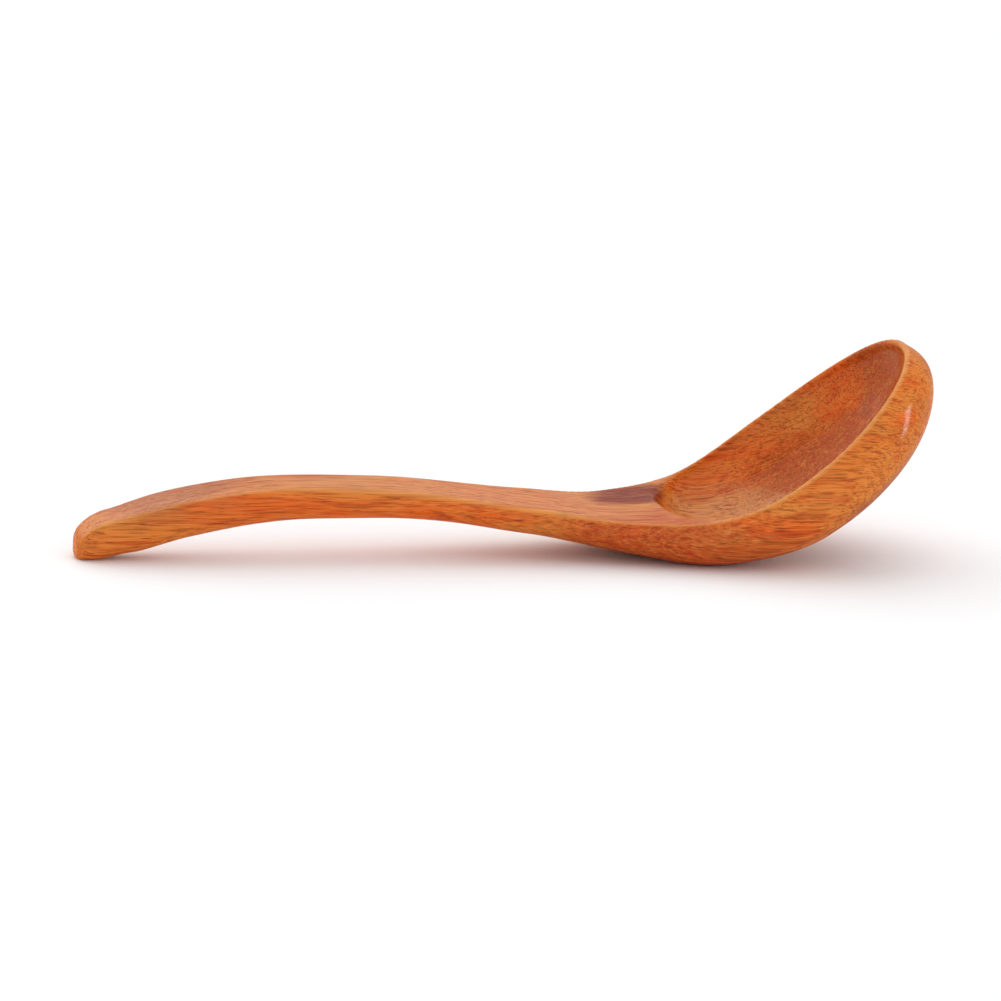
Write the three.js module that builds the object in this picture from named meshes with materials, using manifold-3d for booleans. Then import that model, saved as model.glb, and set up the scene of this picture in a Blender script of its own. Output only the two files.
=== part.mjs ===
// A wooden soup spoon, carved from one blank. An arched, flat-topped handle runs through a neck into a deep,
// egg-shaped bowl that tilts up towards its tip.
//
// Millimetres. +X runs from the tail of the handle to the tip of the bowl, +Y across the spoon, +Z up.
// The origin is under the middle of the spoon, on the surface that it lies on.
import * as THREE from "three";
import { mergeVertices } from "three/addons/utils/BufferGeometryUtils.js";
import Module from "manifold-3d";

// Carving stations. Each is [distance from the tail, value there], and a smooth curve runs through them.
const TOP_LINE = [
  [0, 4], [2, 5.9], [10, 9.2], [30, 13.8], [60, 14.4],
  [90, 11.1], [110, 9.2], [128, 11.8], [146, 22.8], [167.8, 43.5],
];
const HALF_WIDTH = [[0, 3.4], [3, 4.5], [11, 5.5], [40, 6.1], [75, 8.1], [103, 12.3], [124, 18.7], [141, 22]];
const DEPTH = [[0, 4.1], [2, 6.3], [8, 7.9], [20, 8], [50, 7], [83, 6.2], [108, 7.8], [126, 11.9], [141, 15.5]];

const LENGTH = 172.5; // tail to the foremost point of the bowl's outer wall
const BOWL_START = 86; // from here on the section turns from the handle's into the bowl's
const WIDEST = 141; // station of the bowl's greatest width
const RIM_TIP = 167.8; // station of the rim's tip
const RIM_POWER = 2.1; // 2 would make the front of the rim an ellipse; more fills its shoulders out
const RIM_EDGE = 0.08; // upright part of the wall under the top edge, as a share of the depth
const TAIL_UPRIGHT = 10; // nearer the tail than this, the sections stand more and more upright

// How square the section is below its upright edge: 2 is an ellipse, and more is squarer.
const HANDLE_POWER = 2.7;
const BOWL_SIDE_POWER = 3.6;
const BOWL_TIP_POWER = 2.4;
const TIP_DEEPER = 0.13; // how much further down the wall hangs at the tip, as a share of the depth

// The bowl's hollow, whose plan is one rounded outline with its two halves of different lengths.
const HOLLOW = {
  centre: 138,
  heel: 19.5,
  tip: 28.4,
  halfWidth: 20.4,
  depth: 11.5,
  outlinePower: 2.3,
  depthPower: 2.5,
};
const HOLLOW_CLEARANCE = 3; // how far the cutter stands out above the rim

const RINGS_BEHIND = 44; // sections from the tail to the widest station
const RINGS_IN_FRONT = 16; // meridians from the widest station round to the tip
const WALL_STEPS = 24; // steps round the underside, from edge to edge
const TAIL_CROWDING = 1.25; // above 1, sections stand closer together towards the tail
const HOLLOW_STEPS_ROUND = 56;
const HOLLOW_STEPS_DOWN = 28;

// A smooth curve through stations: its height and its slope at any distance from the tail.
function stationCurve(stations, lastSlope) {
  const x = stations.map((station) => station[0]);
  const y = stations.map((station) => station[1]);
  const last = x.length - 1;
  const step = (i) => x[i + 1] - x[i];
  const rise = (i) => (y[i + 1] - y[i]) / step(i);
  const slopes = x.map((_, i) => {
    if (i === 0 || i === last) return 0;
    return (step(i) * rise(i - 1) + step(i - 1) * rise(i)) / (step(i - 1) + step(i));
  });
  slopes[0] = 2 * rise(0) - slopes[1];
  slopes[last] = lastSlope ?? 2 * rise(last - 1) - slopes[last - 1];
  const span = (at) => {
    let i = 0;
    while (i < last - 1 && at >= x[i + 1]) i += 1;
    return [i, THREE.MathUtils.clamp((at - x[i]) / step(i), 0, 1)];
  };
  return {
    value(at) {
      if (at > x[last]) return y[last] + slopes[last] * (at - x[last]);
      const [i, t] = span(at);
      const keep = y[i] * (1 + 2 * t) * (1 - t) ** 2 + y[i + 1] * t * t * (3 - 2 * t);
      return keep + step(i) * (slopes[i] * t * (1 - t) ** 2 - slopes[i + 1] * t * t * (1 - t));
    },
    slope(at) {
      const [i, t] = span(at);
      const turn = 6 * t * (1 - t) * rise(i);
      return turn + slopes[i] * (1 - 4 * t + 3 * t * t) + slopes[i + 1] * (3 * t * t - 2 * t);
    },
  };
}

const topLine = stationCurve(TOP_LINE);
const halfWidth = stationCurve(HALF_WIDTH, 0);
const depth = stationCurve(DEPTH, 0);

// A point of the spoon from its station, its distance off the centre line and its depth below the top line,
// measured square to that line.
function place(station, across, below) {
  const upright = THREE.MathUtils.smoothstep(station, 0, TAIL_UPRIGHT);
  const slope = topLine.slope(Math.max(station, TAIL_UPRIGHT)) * upright;
  const unit = Math.hypot(1, slope);
  const along = station + (below * slope) / unit;
  return new THREE.Vector3(along - LENGTH / 2, across, topLine.value(station) - below / unit);
}

// One quarter of a rounded square: how far out and how far down, each from 0 to 1, for a turn from 0 to 1.
function roundedQuarter(turn, power) {
  const angle = (turn * Math.PI) / 2;
  return [Math.cos(angle) ** (2 / power), Math.sin(angle) ** (2 / power)];
}

// A sheet of rows and columns, each vertex put where `shape(column, row)` says, closed where its edges meet.
function closedSheet(columns, rows, shape) {
  const sheet = new THREE.PlaneGeometry(1, 1, columns, rows);
  const position = sheet.getAttribute("position");
  for (let i = 0; i < position.count; i += 1) {
    const point = shape(i % (columns + 1), Math.floor(i / (columns + 1)));
    position.setXYZ(i, point.x, point.y, point.z);
  }
  sheet.deleteAttribute("normal");
  sheet.deleteAttribute("uv");
  return mergeVertices(sheet, 1e-4);
}

// The blank's outer shape, as if the bowl had not been hollowed. The sheet's columns run from the tail to the
// tip, and its rows go once round: out along the flat top, down and round the underside, and back.
function outerShape() {
  const bowlShare = (station) => THREE.MathUtils.smoothstep(station, BOWL_START, WIDEST);
  const frontLength = RIM_TIP - WIDEST;
  const wall = (row, power) => {
    const side = row - 1 <= WALL_STEPS / 2 ? -1 : 1;
    const steps = side < 0 ? row - 1 : WALL_STEPS + 1 - row;
    if (steps === 0) return [side, 0];
    const [out, down] = roundedQuarter((steps - 1) / (WALL_STEPS / 2 - 1), power);
    return [side * (steps === WALL_STEPS / 2 ? 0 : out), RIM_EDGE + (1 - RIM_EDGE) * down];
  };
  const onTop = (row) => row === 0 || row === WALL_STEPS + 2;

  return closedSheet(RINGS_BEHIND + RINGS_IN_FRONT + 1, WALL_STEPS + 2, (column, row) => {
    if (column === 0) return place(0, 0, depth.value(0) / 2);
    const ring = column - 1;
    if (ring < RINGS_BEHIND) {
      const station = WIDEST * (ring / RINGS_BEHIND) ** TAIL_CROWDING;
      if (onTop(row)) return place(station, 0, 0);
      const power = THREE.MathUtils.lerp(HANDLE_POWER, BOWL_SIDE_POWER, bowlShare(station));
      const [out, down] = wall(row, power);
      return place(station, halfWidth.value(station) * out, depth.value(station) * down);
    }
    const turn = 1 - (ring - RINGS_BEHIND) / RINGS_IN_FRONT;
    const [forward, sideways] = ring === RINGS_BEHIND ? [0, 1] : roundedQuarter(turn, RIM_POWER);
    if (onTop(row)) return place(WIDEST + frontLength * forward, 0, 0);
    const power = THREE.MathUtils.lerp(BOWL_SIDE_POWER, BOWL_TIP_POWER, forward * forward);
    const [out, down] = wall(row, power);
    const reach = forward * Math.abs(out);
    const across = turn === 0 ? 0 : halfWidth.value(WIDEST) * sideways * out;
    return place(WIDEST + frontLength * reach, across, depth.value(WIDEST) * down * (1 + TIP_DEEPER * reach));
  });
}

// What is carved out of the bowl: a rounded pit below the rim, and straight walls above it so that it cuts clear.
function hollowShape() {
  const cutter = new THREE.SphereGeometry(1, HOLLOW_STEPS_ROUND, HOLLOW_STEPS_DOWN);
  cutter.deleteAttribute("normal");
  cutter.deleteAttribute("uv");
  const { centre, heel, tip, depth: deep, outlinePower, depthPower } = HOLLOW;
  const position = cutter.getAttribute("position");
  for (let i = 0; i < position.count; i += 1) {
    const point = new THREE.Vector3().fromBufferAttribute(position, i);
    const radius = Math.hypot(point.x, point.z);
    const heading = Math.atan2(-point.z, point.x);
    const lift = point.y;
    const [out, down] = lift > 0 ? [radius, 0] : roundedQuarter(1 - Math.acos(-lift) / (Math.PI / 2), depthPower);
    const reach = Math.pow(Math.abs(Math.cos(heading)) ** outlinePower
      + Math.abs(Math.sin(heading)) ** outlinePower, -1 / outlinePower);
    const along = Math.cos(heading) * reach * out;
    const across = Math.sin(heading) * reach * out * HOLLOW.halfWidth;
    const below = lift > 0 ? -HOLLOW_CLEARANCE * Math.min(1, 4 * lift) : deep * down;
    const placed = place(centre + along * (along > 0 ? tip : heel), across, below);
    position.setXYZ(i, placed.x, placed.y, placed.z);
  }
  return mergeVertices(cutter, 1e-4);
}

const wasm = await Module();
wasm.setup();

function toSolid(geometry) {
  const vertProperties = new Float32Array(geometry.getAttribute("position").array);
  const corners = geometry.index.array;
  const triVerts = [];
  for (let i = 0; i < corners.length; i += 3) {
    const [a, b, c] = corners.slice(i, i + 3);
    if (a !== b && b !== c && c !== a) triVerts.push(a, b, c);
  }
  return new wasm.Manifold(new wasm.Mesh({ numProp: 3, vertProperties, triVerts: new Uint32Array(triVerts) }));
}

function toGeometry(solid) {
  const mesh = solid.getMesh();
  const geometry = new THREE.BufferGeometry();
  geometry.setAttribute("position", new THREE.BufferAttribute(mesh.vertProperties, mesh.numProp));
  geometry.setIndex(new THREE.BufferAttribute(mesh.triVerts, 1));
  geometry.computeVertexNormals();
  return geometry;
}

// Everything under the resting surface: sanding it off leaves a small flat under the belly and one under the tail.
function belowRest() {
  const thickness = 10;
  const slab = new THREE.BoxGeometry(2 * LENGTH, LENGTH, thickness).translate(0, 0, -thickness / 2);
  slab.deleteAttribute("normal");
  slab.deleteAttribute("uv");
  return mergeVertices(slab, 1e-4);
}

function spoon() {
  const carved = toSolid(outerShape()).subtract(toSolid(hollowShape())).subtract(toSolid(belowRest()));
  const lacqueredWood = new THREE.MeshStandardMaterial({ color: 0xb0602f, roughness: 0.32, metalness: 0 });
  const mesh = new THREE.Mesh(toGeometry(carved), lacqueredWood);
  mesh.name = "spoon";
  return mesh;
}

const part = new THREE.Group();
part.name = "wooden_soup_spoon";
part.add(spoon());

export default part;
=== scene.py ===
"""A carved wooden soup spoon, lying on a white table under soft studio light."""

import math

import bpy
import numpy as np
from mathutils import Matrix, Vector


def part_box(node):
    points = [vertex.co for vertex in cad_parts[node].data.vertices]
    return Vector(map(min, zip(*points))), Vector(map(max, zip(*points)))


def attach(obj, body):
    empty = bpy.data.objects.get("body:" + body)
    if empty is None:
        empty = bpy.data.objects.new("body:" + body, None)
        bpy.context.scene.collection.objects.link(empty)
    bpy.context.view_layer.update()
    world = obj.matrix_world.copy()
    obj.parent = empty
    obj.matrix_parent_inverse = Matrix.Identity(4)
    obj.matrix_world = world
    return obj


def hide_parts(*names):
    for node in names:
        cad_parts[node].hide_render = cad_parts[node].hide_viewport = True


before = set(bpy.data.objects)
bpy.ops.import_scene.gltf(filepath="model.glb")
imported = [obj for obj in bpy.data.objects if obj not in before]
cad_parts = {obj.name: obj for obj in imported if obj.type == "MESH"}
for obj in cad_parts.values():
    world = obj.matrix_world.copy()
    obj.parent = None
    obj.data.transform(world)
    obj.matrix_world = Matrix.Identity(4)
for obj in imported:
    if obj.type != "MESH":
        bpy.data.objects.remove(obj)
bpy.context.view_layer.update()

MM = 0.001

# Carving stations, in millimetres: distance from the tail, value there.
# TOP_LINE is the height of the top, HALF_WIDTH and DEPTH are measured square to it.
TOP_LINE = [
    (0, 4), (2, 5.9), (10, 9.2), (30, 13.8), (60, 14.4),
    (90, 11.1), (110, 9.2), (128, 11.8), (146, 22.8), (167.8, 43.5),
]
HALF_WIDTH = [(0, 3.4), (3, 4.5), (11, 5.5), (40, 6.1), (75, 8.1), (103, 12.3), (124, 18.7), (141, 22)]
DEPTH = [(0, 4.1), (2, 6.3), (8, 7.9), (20, 8), (50, 7), (83, 6.2), (108, 7.8), (126, 11.9), (141, 15.5)]
BOWL_START = 86
WIDEST = 141
RIM_TIP = 167.8
TAIL_UPRIGHT = 10  # nearer the tail than this, the sections stand more and more upright

# How square the outlines are: 2 is an ellipse, and more is squarer.
RIM_POWER = 2.1
HANDLE_POWER = 2.7
BOWL_SIDE_POWER = 3.6
BOWL_TIP_POWER = 2.6
TIP_DEEPER = 0.1  # share by which the bowl is deeper at its tip
RIM_EDGE = 0.08  # share of the depth that is upright below the top
RIM_TUCK = 0.025  # share by which the rim leans in, over the next share of the depth
RIM_TUCK_DOWN = 0.4
RIM_LIFT = 0.75  # millimetres that the rim stands above the top line, growing between two stations
RIM_LIFT_FROM, RIM_LIFT_TO = 128, 162

# The hollow: an egg whose widest level is the flare's height above the rim.
HOLLOW_CENTRE = 138
HOLLOW_HEEL = 19.5
HOLLOW_TIP = 28.4
HOLLOW_HALF_WIDTH = 20.7
HOLLOW_DEPTH = 11.5
HOLLOW_OUTLINE_POWER = 2.3
HOLLOW_DEPTH_POWER = 2.1
HOLLOW_FLARE = 5

# Sanded edges, in millimetres.
TOP_EDGE_RADIUS = 0.4
WORN_EDGE_RADIUS = 1.1
TAIL_EDGE_RADIUS = 1.0
TAIL_NOSE = 0.045
LIP_WIDTH = 0.8
LIP_RADIUS = 0.4
HEEL_RADIUS = 1.6
HOLLOW_WALL_RADIUS = 0.8
HEEL_END, HEEL_START = 130, 119
WAVE_HEIGHT = 0.045

# The grid that the surface is found on, in millimetres.
PITCH = 0.42
GRID_START = -1
GRID_REACH = (RIM_TIP + 5, 23.2, 17.8)

# The picture: metres, except the lens in millimetres and the angles in degrees.
FLOOR_SIZE = 6
ROOM_LIGHT = 0.76
CAMERA_ANGLES = (-17, 13.42, 3.64)  # azimuth, elevation, roll
CAMERA_LENS = 136.9
CAMERA_DISTANCE = 0.75
CAMERA_TARGET = (-0.00165, 0, 0.01062)


def smoothstep(low, high, x):
    t = np.clip((x - low) / (high - low), 0, 1)
    return t * t * (3 - 2 * t)


class StationCurve:
    """A smooth curve through stations: its height and its slope at any distance from the tail."""

    def __init__(self, stations, last_slope=None):
        self.x, self.y = (np.array(column, float) for column in zip(*stations))
        self.step = np.diff(self.x)
        self.rise = np.diff(self.y) / self.step
        step, rise = self.step, self.rise
        slopes = np.zeros(len(self.x))
        slopes[1:-1] = (step[1:] * rise[:-1] + step[:-1] * rise[1:]) / (step[:-1] + step[1:])
        slopes[0] = 2 * rise[0] - slopes[1]
        slopes[-1] = 2 * rise[-1] - slopes[-2] if last_slope is None else last_slope
        self.slopes = slopes

    def span(self, at):
        i = np.clip(np.searchsorted(self.x, at, side="right") - 1, 0, len(self.step) - 1)
        return i, np.clip((at - self.x[i]) / self.step[i], 0, 1)

    def value(self, at):
        i, t = self.span(at)
        keep = self.y[i] * (1 + 2 * t) * (1 - t) ** 2 + self.y[i + 1] * t * t * (3 - 2 * t)
        bend = self.slopes[i] * t * (1 - t) ** 2 - self.slopes[i + 1] * t * t * (1 - t)
        beyond = self.slopes[-1] * np.maximum(at - self.x[-1], 0)
        return keep + self.step[i] * bend + beyond

    def slope(self, at):
        i, t = self.span(at)
        turn = 6 * t * (1 - t) * self.rise[i]
        return turn + self.slopes[i] * (1 - 4 * t + 3 * t * t) + self.slopes[i + 1] * (3 * t * t - 2 * t)


top_line = StationCurve(TOP_LINE)
half_width = StationCurve(HALF_WIDTH, 0)
depth = StationCurve(DEPTH, 0)


def outer_reach(s, y, d):
    """How far out a point is on the blank's outer shape: 0 on it, and below 0 inside."""
    forward = np.maximum(s - WIDEST, 0) / (RIM_TIP - WIDEST)
    sideways = np.abs(y) / half_width.value(s)
    plan = (forward**RIM_POWER + sideways**RIM_POWER) ** (1 / RIM_POWER)
    heading = forward / np.maximum(plan, 1e-6)
    bowl = smoothstep(BOWL_START, WIDEST, s)
    power = HANDLE_POWER + (BOWL_SIDE_POWER - HANDLE_POWER) * bowl
    power = power + (BOWL_TIP_POWER - BOWL_SIDE_POWER) * heading**2
    deep = depth.value(s) * (1 + TIP_DEEPER * forward)
    plan = plan * (1 + RIM_TUCK * bowl * np.clip(1 - d / (RIM_TUCK_DOWN * deep), 0, 1) ** 2)
    down = np.maximum(d / deep - RIM_EDGE, 0) / (1 - RIM_EDGE)
    return (plan**power + down**power) ** (1 / power) - 1


def hollow_reach(s, y, d):
    """The same for the hollow that is carved out of the bowl."""
    forward = s - HOLLOW_CENTRE
    forward = np.abs(forward) / np.where(forward > 0, HOLLOW_TIP, HOLLOW_HEEL)
    sideways = np.abs(y) / HOLLOW_HALF_WIDTH
    plan = (forward**HOLLOW_OUTLINE_POWER + sideways**HOLLOW_OUTLINE_POWER) ** (1 / HOLLOW_OUTLINE_POWER)
    rim_down = HOLLOW_FLARE / (HOLLOW_DEPTH + HOLLOW_FLARE)
    rim_plan = (1 - rim_down**HOLLOW_DEPTH_POWER) ** (1 / HOLLOW_DEPTH_POWER)
    down = np.maximum(d + HOLLOW_FLARE, 0) / (HOLLOW_DEPTH + HOLLOW_FLARE)
    plan = plan * rim_plan
    return (plan**HOLLOW_DEPTH_POWER + down**HOLLOW_DEPTH_POWER) ** (1 / HOLLOW_DEPTH_POWER) - 1


def slope_of(f, s, y, d, by=0.05):
    """The three slopes of a field, by central differences."""
    return (
        (f(s + by, y, d) - f(s - by, y, d)) / (2 * by),
        (f(s, y + by, d) - f(s, y - by, d)) / (2 * by),
        (f(s, y, d + by) - f(s, y, d - by)) / (2 * by),
    )


def distance(reach, s, y, d):
    """A reach turned into millimetres, true close to the surface."""
    a, b, c = slope_of(reach, s, y, d)
    return reach(s, y, d) / np.maximum(np.sqrt(a * a + b * b + c * c), 0.01)


def rounded_meet(a, b, radius):
    """What is inside both a and b, with the edge between them rounded."""
    corner = np.hypot(np.maximum(a + radius, 0), np.maximum(b + radius, 0))
    return np.minimum(-radius, np.maximum(a, b)) + corner


def waviness(s, y, d):
    """The faint unevenness of hand sanding, in millimetres."""
    wave = np.sin(s / 9.1 + 0.4) * np.sin(y / 7.3 + 1.1)
    wave = wave + 0.7 * np.sin(s / 5.3 + d / 4.1 + 2.0) * np.sin(y / 5.9 - d / 6.3 + 0.3)
    return WAVE_HEIGHT * (wave + 0.6 * np.sin(s / 3.4 + y / 4.7) * np.cos(d / 3.7 - s / 11.0))


def faces(s, y, d):
    """How far a point is outside the blank's outer wall, outside its top, and inside the hollow."""
    wall = distance(outer_reach, s, y, d)
    hollow = distance(hollow_reach, s, y, d) + 0.6 * waviness(s, y, d + 9)
    hollow = rounded_meet(hollow, wall + LIP_WIDTH, HOLLOW_WALL_RADIUS)
    top = -d - 0.5 * waviness(s, y, d) - RIM_LIFT * smoothstep(RIM_LIFT_FROM, RIM_LIFT_TO, s)
    return wall + waviness(s, y, d), top, -hollow


def top_radius(s):
    """The handle's long edges are rubbed rounder where a hand holds them."""
    held = smoothstep(30, 55, s) * smoothstep(110, 85, s)
    return TOP_EDGE_RADIUS + (WORN_EDGE_RADIUS - TOP_EDGE_RADIUS) * held


def lip_radius(s):
    """The edge of the hollow is thin all round, and softer at the heel, next to the handle."""
    return LIP_RADIUS + (HEEL_RADIUS - LIP_RADIUS) * smoothstep(HEEL_END, HEEL_START, s)


def solid(s, y, d):
    """Below 0 inside the finished spoon, in millimetres from its surface."""
    wall, top, hollow = faces(s, y, d)
    shape = rounded_meet(wall, top, top_radius(s))
    shape = rounded_meet(shape, TAIL_NOSE * y**2 - s, TAIL_EDGE_RADIUS)
    return rounded_meet(shape, hollow, lip_radius(s))


def painted_glint_edges(s, y, d):
    """1 along the rounded edges and the lip on the near side, where a painted highlight goes, and 0 away
    from them.
    """
    wall, top, hollow = faces(s, y, d)
    edge = smoothstep(-0.9, -0.2, np.minimum(wall, top) / (top_radius(s) + 0.3))
    lip = smoothstep(-0.65, -0.25, top)
    bowl = smoothstep(118, 130, s)
    return (edge * (1 - bowl) + lip * bowl) * smoothstep(6, -6, y)


CORNERS = [(i, j, k) for i in (0, 1) for j in (0, 1) for k in (0, 1)]


def surface_net(axes):
    """Quads over the surface of `solid` on a grid, one vertex for each cell that it crosses."""
    s, y, d = np.meshgrid(*axes, indexing="ij", sparse=True)
    values = solid(s, y, d)
    cells = tuple(n - 1 for n in values.shape)

    def corner(offset):
        return values[tuple(slice(o, o + n) for o, n in zip(offset, cells))]

    count = sum((corner(c) < 0).astype(np.int8) for c in CORNERS)
    active = (count > 0) & (count < 8)
    number = np.full(cells, -1, np.int64)
    number[active] = np.arange(active.sum())
    total = np.zeros((active.sum(), 3))
    crossings = np.zeros(active.sum())
    for a in CORNERS:
        for axis in range(3):
            if a[axis]:
                continue
            b = tuple(1 if i == axis else a[i] for i in range(3))
            va, vb = corner(a)[active], corner(b)[active]
            crossed = (va < 0) != (vb < 0)
            share = np.where(crossed, va / np.where(crossed, va - vb, 1), 0)
            point = np.array(a, float) + share[:, None] * (np.array(b) - np.array(a))
            total += np.where(crossed[:, None], point, 0)
            crossings += crossed
    start = np.argwhere(active) + total / crossings[:, None]
    points = np.stack([np.interp(start[:, i], np.arange(len(axes[i])), axes[i]) for i in range(3)], 1)

    quads = []
    for axis in range(3):
        u, v = [i for i in range(3) if i != axis]
        here = [slice(1, -1)] * 3
        here[axis] = slice(0, -1)
        there = list(here)
        there[axis] = slice(1, None)
        near, far = values[tuple(here)] < 0, values[tuple(there)] < 0
        where = np.argwhere(near != far) + np.array([0 if i == axis else 1 for i in range(3)])
        outward = near[near != far]
        ring = []
        for du, dv in ((0, 0), (-1, 0), (-1, -1), (0, -1)):
            cell = where.copy()
            cell[:, u] += du
            cell[:, v] += dv
            ring.append(number[cell[:, 0], cell[:, 1], cell[:, 2]])
        ring = np.stack(ring, 1)
        flip = outward if axis == 1 else ~outward
        ring[flip] = ring[flip][:, ::-1]
        quads.append(ring)
    return points, np.concatenate(quads)


def settle(points, quads, rounds=3):
    """Evens the quads out, and puts each vertex exactly on the surface."""
    edges = np.concatenate([quads[:, [i, (i + 1) % 4]] for i in range(4)])
    for _ in range(rounds):
        total = np.zeros_like(points)
        count = np.zeros(len(points))
        for a, b in ((0, 1), (1, 0)):
            np.add.at(total, edges[:, a], points[edges[:, b]])
            np.add.at(count, edges[:, a], 1)
        points = points + 0.5 * (total / count[:, None] - points)
        for _ in range(2):
            s, y, d = points.T
            slopes = np.stack(slope_of(solid, s, y, d), 1)
            step = solid(s, y, d) / np.maximum((slopes**2).sum(1), 0.05)
            move = -step[:, None] * slopes
            length = np.linalg.norm(move, axis=1, keepdims=True)
            points = points + move * np.minimum(1, 0.5 * PITCH / np.maximum(length, 1e-9))
    return points


def place(points):
    """Points by station, across and below the top line, turned into metres in the spoon's frame."""
    s, y, d = points.T
    slope = top_line.slope(np.maximum(s, TAIL_UPRIGHT)) * smoothstep(0, TAIL_UPRIGHT, s)
    unit = np.hypot(1, slope)
    low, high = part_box("spoon")
    x = s + d * slope / unit
    z = np.maximum(top_line.value(s) - d / unit, 0)
    return np.stack([low.x + x * MM, y * MM, low.z + z * MM], 1)


def make_spoon():
    far, side, deep = GRID_REACH
    axes = [
        np.arange(GRID_START, far, PITCH),
        np.arange(-side, side + PITCH, PITCH),
        np.arange(GRID_START, deep, PITCH),
    ]
    points, quads = surface_net(axes)
    points = settle(points, quads)
    mesh = bpy.data.meshes.new("carved_spoon")
    mesh.from_pydata(place(points).tolist(), [], quads.tolist())
    # Painted highlight: where a pale glint goes along the near side's rounded edges and lip.
    painted_glint = mesh.attributes.new("painted_glint_edges", "FLOAT", "POINT")
    painted_glint.data.foreach_set("value", painted_glint_edges(*points.T))
    mesh.validate()
    mesh.polygons.foreach_set("use_smooth", [True] * len(mesh.polygons))
    mesh.update()
    spoon = bpy.data.objects.new("carved_spoon", mesh)
    bpy.context.scene.collection.objects.link(spoon)
    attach(spoon, "root")
    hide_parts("spoon")
    return spoon


def tint(red, green, blue):
    """A screen colour, 0 to 255, turned into the linear light that the shader works in."""
    return tuple(((c / 255 + 0.055) / 1.055) ** 2.4 for c in (red, green, blue)) + (1,)


class Grain:
    """Shorthand for the nodes of a solid wood pattern. Sizes are in millimetres of the spoon."""

    def __init__(self, tree):
        self.tree = tree
        place = self.add("TexCoord").outputs["Object"]
        self.here = self.add("VectorMath", {0: place, 1: (1 / MM,) * 3}, operation="MULTIPLY").outputs[0]

    def add(self, kind, inputs=None, **settings):
        node = self.tree.nodes.new("ShaderNode" + kind)
        for name, value in settings.items():
            setattr(node, name, value)
        for key, value in (inputs or {}).items():
            if isinstance(value, bpy.types.NodeSocket):
                self.tree.links.new(value, node.inputs[key])
            else:
                node.inputs[key].default_value = value
        return node

    def math(self, operation, a, b=0.0):
        return self.add("Math", {0: a, 1: b}, operation=operation).outputs[0]

    def vector(self, operation, a, b=(0, 0, 0)):
        node = self.add("VectorMath", {0: a, 1: b}, operation=operation)
        return node.outputs["Value" if operation in ("DOT_PRODUCT", "LENGTH") else "Vector"]

    def shrink(self, size):
        return self.vector("MULTIPLY", self.here, tuple(1 / length for length in size))

    def noise(self, size, detail=2.0, colour=False):
        node = self.add("TexNoise", {"Vector": self.shrink(size), "Scale": 1.0, "Detail": detail})
        return node.outputs["Color" if colour else 0]

    def bands(self, along, width, detail=3.0):
        """Noise that changes in one direction only."""
        inputs = {"W": self.math("DIVIDE", along, width), "Scale": 1.0, "Detail": detail}
        return self.add("TexNoise", inputs, noise_dimensions="1D").outputs[0]

    def between(self, value, low, high, most=1.0):
        """0 at the first value, rising smoothly to its most at the second."""
        inputs = {0: value, 1: low, 2: high, 3: 0.0, 4: most}
        return self.add("MapRange", inputs, interpolation_type="SMOOTHSTEP").outputs[0]

    def mix(self, share, a, b):
        return self.add("Mix", {0: share, 6: a, 7: b}, data_type="RGBA").outputs[2]

    def ragged(self):
        """Added to a distance to make an edge that runs in and out along the grain."""
        inputs = {0: self.noise((14, 4, 4), 3.0), 1: 0.9, 2: -0.45}
        return self.add("Math", inputs, operation="MULTIPLY_ADD").outputs[0]

    def zone(self, centre, radii, ragged):
        """1 in the middle of a soft, ragged-edged lump of the wood, and 0 outside it."""
        away = self.vector("SUBTRACT", self.here, centre)
        away = self.vector("MULTIPLY", away, tuple(1 / radius for radius in radii))
        reach = self.math("ADD", self.vector("LENGTH", away), ragged)
        return self.between(reach, 1.1, 0.55)

    def pores(self, length, thickness, spacing):
        """Dark vessel lines, about so long and so thick."""
        size = (length * spacing / thickness, spacing, spacing)
        cells = self.add("TexVoronoi", {"Vector": self.shrink(size), "Scale": 1.0})
        half = 0.5 * thickness / spacing
        return self.between(cells.outputs["Distance"], 1.35 * half, 0.6 * half)


# The colours of the wood.
GOLDEN = tint(220, 132, 54)
ORANGE = tint(228, 106, 34)
RED = tint(184, 48, 12)
BROWN = tint(172, 76, 14)
UMBER = tint(140, 56, 12)
DARK = tint(92, 28, 10)
PURPLE = tint(116, 34, 34)
# A pale tan, used as painted sheen.
PAINTED_SHEEN_TAN = tint(212, 146, 92)
PALE = tint(230, 154, 84)
DUSKY = tint(140, 72, 50)
# A pale colour for the painted highlight along the near side's edges and lip.
PAINTED_GLINT_COLOUR = tint(232, 164, 92)

# Soft zones of other colour: colour, strength, centre and radii. The golden, red and purple ones are the
# wood's own tone, and the brown and dusky ones make it darker there. The tan one is painted sheen, and
# the umber one is painted shade.
ZONES = [
    (GOLDEN, 0.6, (-76, 0, 6), (26, 12, 9)),
    (RED, 0.6, (28, -14, 5), (32, 10, 9)),
    (BROWN, 0.8, (62, 2, 17), (32, 17, 16)),
    # Painted sheen: paler tan at the hollow's heel.
    (PAINTED_SHEEN_TAN, 0.9, (50, 3, 7), (15, 14, 6)),
    # Painted shade: darker low in the hollow, by its near wall.
    (UMBER, 0.85, (65, -12, 25), (21, 8, 9)),
    (GOLDEN, 0.7, (68, -19, 17), (19, 6, 15)),
    (PURPLE, 0.95, (28.5, 8.5, 10.5), (11, 9.5, 4)),
    (GOLDEN, 0.8, (83, -6, 38), (6, 7, 8)),
    (PURPLE, 0.6, (79, -13, 31), (7, 2.5, 4)),
    (DUSKY, 0.55, (80, 2, 34), (10, 13, 10)),
    (DUSKY, 0.5, (-72, 2, 12), (24, 12, 5)),
    (GOLDEN, 0.7, (82, -12, 24), (9, 9, 14)),
]
# Where painted shade darkens the downward faces under the bowl: centre and radii.
PAINTED_SHADE_UNDERSIDE = (70, -6, 14), (26, 18, 16)


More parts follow.
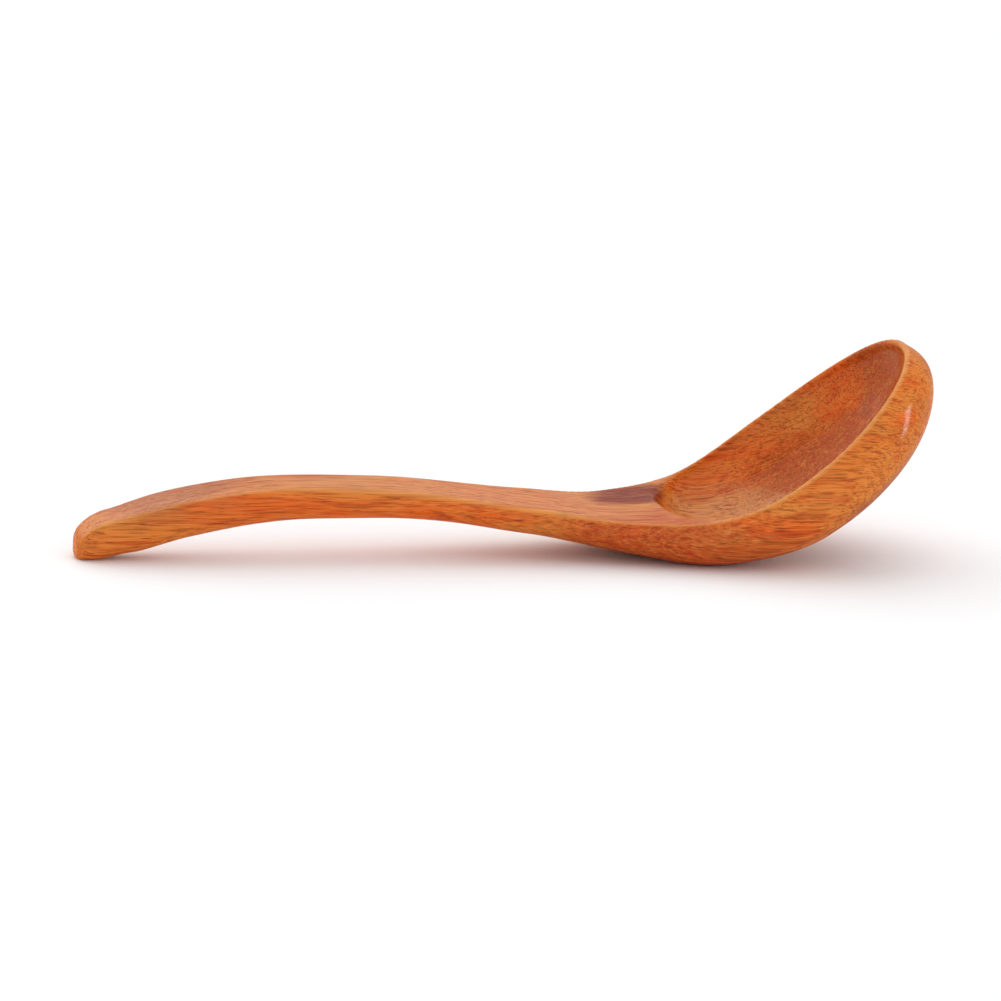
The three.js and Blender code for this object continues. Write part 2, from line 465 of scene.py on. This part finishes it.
def make_wood():
    """Straight-grained wood, worked out in the solid, under clear lacquer, with some painted sheen,
    shade and highlight in its colour.
    """
    material = bpy.data.materials.new("lacquered_wood")
    material.use_nodes = True
    shader = material.node_tree.nodes["Principled BSDF"]
    grain = Grain(material.node_tree)

    # The growth layers stand nearly upright along the spoon, and wander a little.
    wander = grain.vector("SUBTRACT", grain.noise((60, 18, 18), colour=True), (0.5, 0.5, 0.5))
    grain.here = grain.vector("ADD", grain.here, grain.vector("MULTIPLY", wander, (0, 4, 4)))
    across = grain.vector("DOT_PRODUCT", grain.here, (0.03, 0.94, 0.34))

    broad = grain.noise((50, 8, 8))
    ragged = grain.ragged()
    colour = grain.mix(grain.between(broad, 0.4, 0.68), ORANGE, GOLDEN)
    upward = grain.add("SeparateXYZ", {0: grain.add("NewGeometry").outputs["Normal"]}).outputs[2]
    # Painted sheen: faces that look up are mixed towards pale tan.
    colour = grain.mix(grain.between(upward, 0.6, 0.95, 0.65), colour, PAINTED_SHEEN_TAN)
    for tone, strength, centre, radii in ZONES:
        share = grain.math("MULTIPLY", grain.zone(centre, radii, ragged), strength)
        colour = grain.mix(share, colour, tone)
    # Painted shade: faces that look down, under the bowl, are mixed towards dusky brown.
    painted_underside_shade = grain.between(upward, -0.2, -0.5, 0.65)
    painted_underside_shade = grain.math("MULTIPLY", grain.zone(*PAINTED_SHADE_UNDERSIDE, ragged), painted_underside_shade)
    colour = grain.mix(painted_underside_shade, colour, DUSKY)

    layers = grain.bands(across, 0.5, 3.0)
    colour = grain.mix(grain.between(layers, 0.52, 0.68, 0.2), colour, UMBER)
    colour = grain.mix(grain.between(layers, 0.46, 0.36, 0.12), colour, PALE)
    streaks = grain.noise((30, 1.0, 1.0), 5.0)
    colour = grain.mix(grain.between(streaks, 0.5, 0.72, 0.6), colour, RED)
    colour = grain.mix(grain.between(streaks, 0.46, 0.32, 0.4), colour, GOLDEN)
    veins = grain.noise((40, 0.5, 0.5), 2.0)
    colour = grain.mix(grain.between(veins, 0.54, 0.66, 0.5), colour, UMBER)
    fibres = grain.noise((9, 0.26, 0.26), 3.0)
    colour = grain.mix(grain.between(fibres, 0.5, 0.7, 0.5), colour, DARK)
    colour = grain.mix(grain.between(fibres, 0.46, 0.3, 0.36), colour, PALE)

    # Vessel lines, which crowd together in places.
    crowd = grain.between(grain.noise((16, 3.2, 3.2)), 0.36, 0.56)
    long_pores = grain.math("MULTIPLY", grain.pores(2.2, 0.15, 0.7), crowd)
    fine_pores = grain.pores(1.2, 0.13, 0.5)
    colour = grain.mix(grain.math("MULTIPLY", long_pores, 0.85), colour, DARK)
    colour = grain.mix(grain.math("MULTIPLY", fine_pores, 0.45), colour, DARK)
    # Painted highlight: a pale glint mixed in along the near side's rounded edges and lip.
    painted_glint = grain.add("Attribute", attribute_name="painted_glint_edges").outputs["Fac"]
    colour = grain.mix(grain.math("MULTIPLY", painted_glint, 0.5), colour, PAINTED_GLINT_COLOUR)
    grain.tree.links.new(colour, shader.inputs["Base Color"])

    # The lacquer sinks a little into the pores and the fibres.
    relief = grain.math("SUBTRACT", grain.math("MULTIPLY", fibres, 0.35), long_pores)
    bump = grain.add("Bump", {"Strength": 0.35, "Distance": 0.05 * MM, "Height": relief})
    grain.tree.links.new(bump.outputs[0], shader.inputs["Normal"])
    grain.tree.links.new(bump.outputs[0], shader.inputs["Coat Normal"])
    shader.inputs["Roughness"].default_value = 0.6
    shader.inputs["Specular IOR Level"].default_value = 0.0
    shader.inputs["Coat Weight"].default_value = 0.3
    shader.inputs["Coat Roughness"].default_value = 0.1
    return material


def make_floor():
    bpy.ops.mesh.primitive_plane_add(size=FLOOR_SIZE, location=(0, 0, 0))
    floor = bpy.context.object
    floor.name = "floor"
    paper = bpy.data.materials.new("white_table")
    paper.use_nodes = True
    shader = paper.node_tree.nodes["Principled BSDF"]
    shader.inputs["Base Color"].default_value = (0.92, 0.93, 0.935, 1)
    shader.inputs["Roughness"].default_value = 0.7
    shader.inputs["Specular IOR Level"].default_value = 0.2
    floor.data.materials.append(paper)


def add_light(name, position, target, size, energy):
    data = bpy.data.lights.new(name, "AREA")
    data.shape = "RECTANGLE"
    data.size, data.size_y = size
    data.energy = energy
    light = bpy.data.objects.new(name, data)
    light.location = position
    light.rotation_euler = (Vector(target) - Vector(position)).to_track_quat("-Z", "Y").to_euler()
    bpy.context.scene.collection.objects.link(light)


def add_sun(name, position, spread, strength):
    """Light from one side of the room, as even as from a far window: no fall-off across the table."""
    data = bpy.data.lights.new(name, "SUN")
    data.angle = math.radians(spread)
    data.energy = strength
    light = bpy.data.objects.new(name, data)
    light.rotation_euler = Vector(position).to_track_quat("Z", "Y").to_euler()
    bpy.context.scene.collection.objects.link(light)


def make_lights():
    world = bpy.data.worlds.new("studio")
    world.use_nodes = True
    world.node_tree.nodes["Background"].inputs["Color"].default_value = (1, 1, 1, 1)
    world.node_tree.nodes["Background"].inputs["Strength"].default_value = ROOM_LIGHT
    bpy.context.scene.world = world
    add_sun("back_left", (-0.25, 0.6, 0.75), 80, 1.1)
    add_sun("overhead", (0.1, -0.2, 0.95), 60, 0.25)
    add_light("right", (0.82, -0.36, 0.2), (0.07, -0.01, 0.03), (0.09, 0.32), 1.15)


def make_camera():
    azimuth, elevation, roll = (math.radians(a) for a in CAMERA_ANGLES)
    back = Vector((
        math.sin(azimuth) * math.cos(elevation),
        -math.cos(azimuth) * math.cos(elevation),
        math.sin(elevation),
    ))
    level = Vector((math.cos(azimuth), math.sin(azimuth), 0))
    upright = back.cross(level)
    right = math.cos(roll) * level + math.sin(roll) * upright
    up = back.cross(right)
    data = bpy.data.cameras.new("camera")
    data.sensor_width = 36
    data.lens = CAMERA_LENS
    camera = bpy.data.objects.new("camera", data)
    turned = Matrix((right, up, back)).transposed().to_4x4()
    camera.matrix_world = Matrix.Translation(Vector(CAMERA_TARGET) + CAMERA_DISTANCE * back) @ turned
    bpy.context.scene.collection.objects.link(camera)
    bpy.context.scene.camera = camera


spoon = make_spoon()
spoon.data.materials.append(make_wood())
make_floor()
make_lights()
make_camera()
bpy.context.scene.view_settings.view_transform = "Standard"
